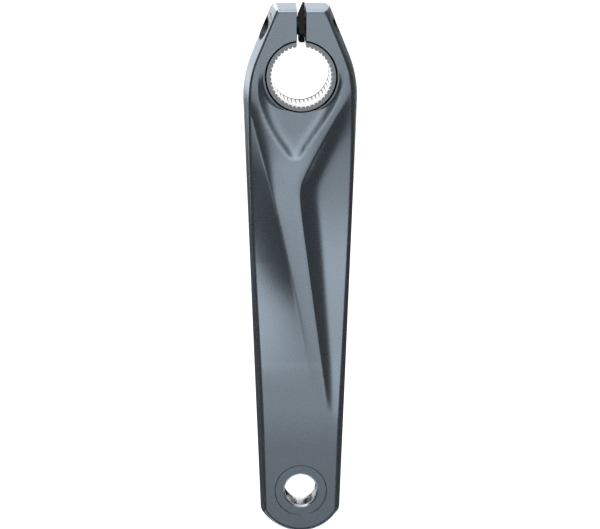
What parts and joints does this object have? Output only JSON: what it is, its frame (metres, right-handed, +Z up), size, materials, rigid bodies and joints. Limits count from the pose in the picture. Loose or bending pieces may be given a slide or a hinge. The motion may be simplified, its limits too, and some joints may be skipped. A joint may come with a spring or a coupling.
{
  "type": "bicycle crank arm",
  "caption": "Left bicycle crank arm with a splined clamp bore, pinch bolts, a swinging stopper plate in the slit, a sculpted twisting ridge and a threaded pedal hole.",
  "frame": {"origin": "on the spindle axis at the boss's inboard face", "axes": "+Z up the arm from the pedal hole to the clamp, as the arm hangs; +Y inboard along the spindle axis, so the outer face looks to -Y; +X to the right as seen from outside"},
  "size_m": [0.0464, 0.031, 0.2185],
  "materials": {
    "arm_coating": "satin",
    "bolt_steel": "satin",
    "washer_steel": "satin",
    "plate_plastic": "matte"
  },
  "bodies": {
    "arm": {"crank_arm": "arm_coating", "outboard_clamp_bolt": "bolt_steel", "inboard_clamp_bolt": "bolt_steel", "outboard_bolt_washer": "washer_steel", "inboard_bolt_washer": "washer_steel"},
    "stopper": {"stopper_plate": "plate_plastic"}
  },
  "joints": [
    {"name": "stopper_hinge", "type": "hinge", "parent": "arm", "child": "stopper", "pos_m": [0, -0.0062, 0.0195], "axis": [1, 0, 0], "range_deg": [0, 16]}
  ]
}
